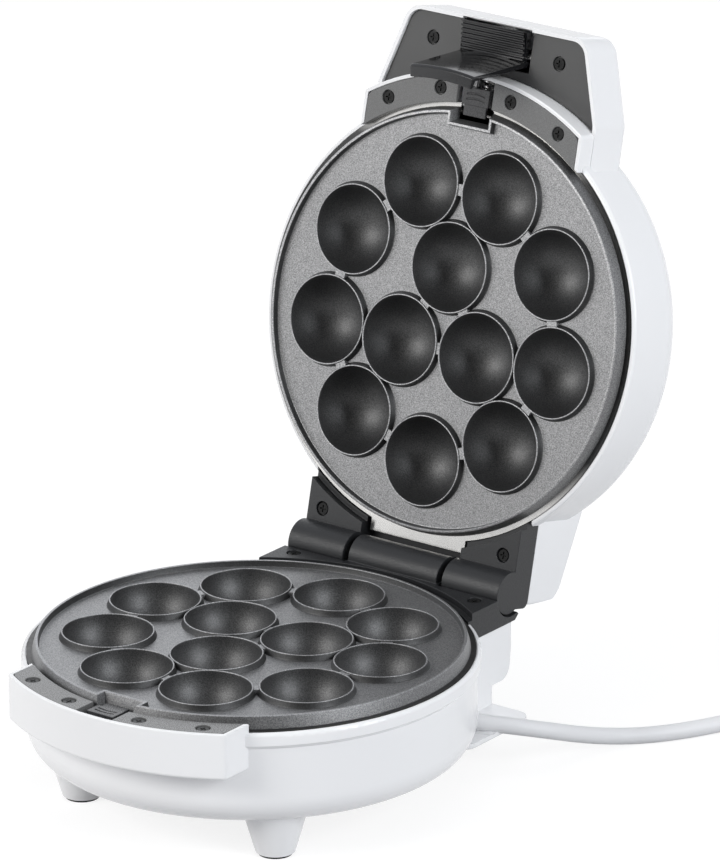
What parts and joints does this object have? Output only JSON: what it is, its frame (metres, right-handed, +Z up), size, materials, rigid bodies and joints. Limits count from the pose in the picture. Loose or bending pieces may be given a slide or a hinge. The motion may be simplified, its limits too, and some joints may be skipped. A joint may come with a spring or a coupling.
{
  "type": "cake pop maker",
  "caption": "Round countertop cooker whose hinged lid and base carry matching non-stick plates of ball cavities, with a front handle, squeeze latch and mains cord",
  "frame": {"origin": "On the surface that it stands on, under the centre of the appliance's bounding box, the free cord and plug left out", "axes": "+Z up, -Y toward the handle and the user, +X to the user's right as they face the appliance; the hinge line is parallel to X"},
  "size_m": [0.3484, 0.3615, 0.2939],
  "materials": {
    "white_gloss": "gloss",
    "black_satin": "satin",
    "latch_black": "gloss",
    "clip_grey": "satin",
    "nonstick": "satin",
    "bright_sheet": "polished",
    "element_steel": "satin",
    "dark_screw": "satin",
    "pin_steel": "satin",
    "foot_rubber": "matte",
    "lens_red": "gloss",
    "lens_green": "gloss",
    "lamp_glass": "gloss",
    "inner_plastic": "matte",
    "fuse_metal": "satin",
    "lead_insulation": "matte",
    "cord_white": "satin",
    "plug_pin_brass": "polished"
  },
  "bodies": {
    "base": {"base_housing": "white_gloss", "bottom_cover": "white_gloss", "bottom_screws": "dark_screw", "foot_pads": "foot_rubber", "base_baking_plate": "nonstick", "base_reflector": "bright_sheet", "base_heating_element": "element_steel", "base_insert_left": "black_satin", "base_insert_right": "black_satin", "base_insert_screws": "dark_screw", "base_clip_spring": "pin_steel", "base_hinge_block": "black_satin", "base_hinge_screws": "dark_screw", "hinge_pin": "pin_steel", "thermostat": "inner_plastic", "thermal_fuse": "fuse_metal", "terminal_block": "inner_plastic", "internal_leads": "lead_insulation", "strain_relief": "cord_white", "cord_lead": "cord_white", "cord_coil": "cord_white", "plug": "cord_white", "plug_pins": "plug_pin_brass"},
    "lid": {"lid_housing": "white_gloss", "lid_baking_plate": "nonstick", "lid_reflector": "bright_sheet", "lid_heating_element": "element_steel", "lid_insert_left": "black_satin", "lid_insert_right": "black_satin", "lid_insert_screws": "dark_screw", "lid_clip_spring": "pin_steel", "lid_handle_cover": "black_satin", "lid_cover_screws": "dark_screw", "lid_hinge_block": "black_satin", "lid_hinge_screws": "dark_screw", "power_lens": "lens_red", "ready_lens": "lens_green", "lamp_carrier": "inner_plastic", "indicator_lamps": "lamp_glass", "latch_pin": "pin_steel", "latch_spring": "pin_steel"},
    "latch": {"latch": "latch_black"},
    "base_plate_clip": {"base_plate_clip": "clip_grey"},
    "lid_plate_clip": {"lid_plate_clip": "clip_grey"}
  },
  "joints": [
    {"name": "lid_hinge", "type": "hinge", "parent": "base", "child": "lid", "pos_m": [0, 0.0617, 0.0668], "axis": [1, 0, 0], "range_deg": [0, 103.6]},
    {"name": "latch_pivot", "type": "hinge", "parent": "lid", "child": "latch", "pos_m": [0, 0.12985, 0.28047], "axis": [-1, 0, 0], "range_deg": [0, 12], "stiffness_Nm_per_rad": 0.05, "deforming": ["latch_spring"]},
    {"name": "base_clip_slide", "type": "slide", "parent": "base", "child": "base_plate_clip", "axis": [0, -1, 0], "range_m": [0, 0.0038], "stiffness_N_per_m": 300, "deforming": ["base_clip_spring"]},
    {"name": "lid_clip_slide", "type": "slide", "parent": "lid", "child": "lid_plate_clip", "axis": [0, 0.2351, 0.972], "range_m": [0, 0.0038], "stiffness_N_per_m": 300, "deforming": ["lid_clip_spring"]}
  ]
}
